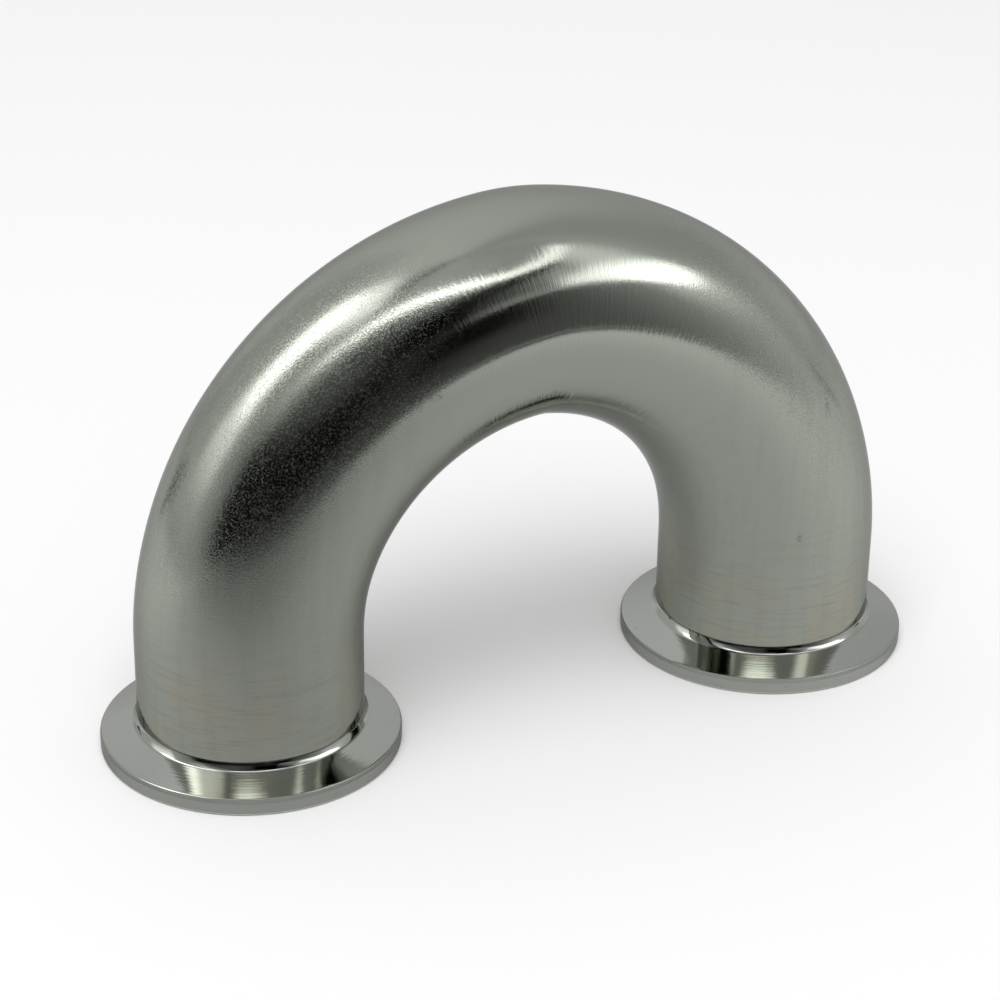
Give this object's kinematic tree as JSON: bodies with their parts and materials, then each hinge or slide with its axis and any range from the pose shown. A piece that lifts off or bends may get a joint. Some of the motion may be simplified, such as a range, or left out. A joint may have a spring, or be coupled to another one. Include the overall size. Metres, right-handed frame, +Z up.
{
  "type": "sanitary clamp u-bend",
  "caption": "Half-turn return bend of satin stainless tube with a polished clamp ferrule welded to the foot of each leg, for turning a sanitary line back on itself.",
  "frame": {"origin": "midway between the two legs, in the plane of the two sealing faces", "axes": "+Z up along the legs to the crown, +X from the left leg to the right leg, +Y across the bend"},
  "size_m": [0.1484, 0.0506, 0.0898],
  "materials": {
    "satin_steel": "fine satin, with a cross grain where the crown weld was dressed",
    "polished_steel": "turned and polished"
  },
  "bodies": {
    "root": {"elbow_left": "satin_steel", "elbow_right": "satin_steel", "ferrule_left": "polished_steel", "ferrule_right": "polished_steel"}
  },
  "joints": []
}
